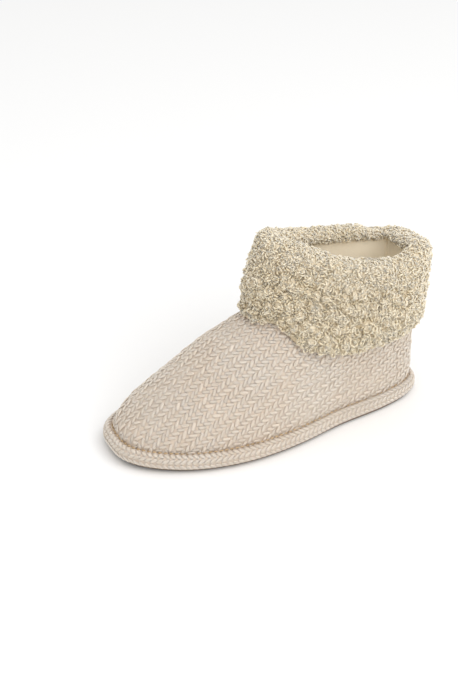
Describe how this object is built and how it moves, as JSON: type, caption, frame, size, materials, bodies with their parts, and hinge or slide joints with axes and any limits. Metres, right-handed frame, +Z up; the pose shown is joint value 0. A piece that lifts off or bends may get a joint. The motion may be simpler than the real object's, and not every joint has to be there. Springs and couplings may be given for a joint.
{
  "type": "bootie slipper",
  "caption": "Left bootie slipper with a knitted closed-toe upper, a thick knit-wrapped sole rim and a curly fleece cuff folded over the ankle collar.",
  "frame": {"origin": "on the floor, in the middle of the footprint of the whole slipper", "axes": "+Z up, +Y from toe to heel, +X towards the outer side of the left foot"},
  "size_m": [0.1026, 0.2548, 0.1552],
  "materials": {
    "outsole_rubber": "matt soft rubber",
    "rim_knit": "chunky knit in warm beige with a pink cast",
    "insole_fabric": "smooth cream lining cloth",
    "upper_knit": "chunky knit in warm beige with a pink cast",
    "cuff_fleece": "deep curly fleece in cream and khaki"
  },
  "bodies": {
    "root": {"outsole": "outsole_rubber", "midsole": "rim_knit", "insole": "insole_fabric", "upper": "upper_knit", "cuff": "cuff_fleece"}
  },
  "joints": []
}
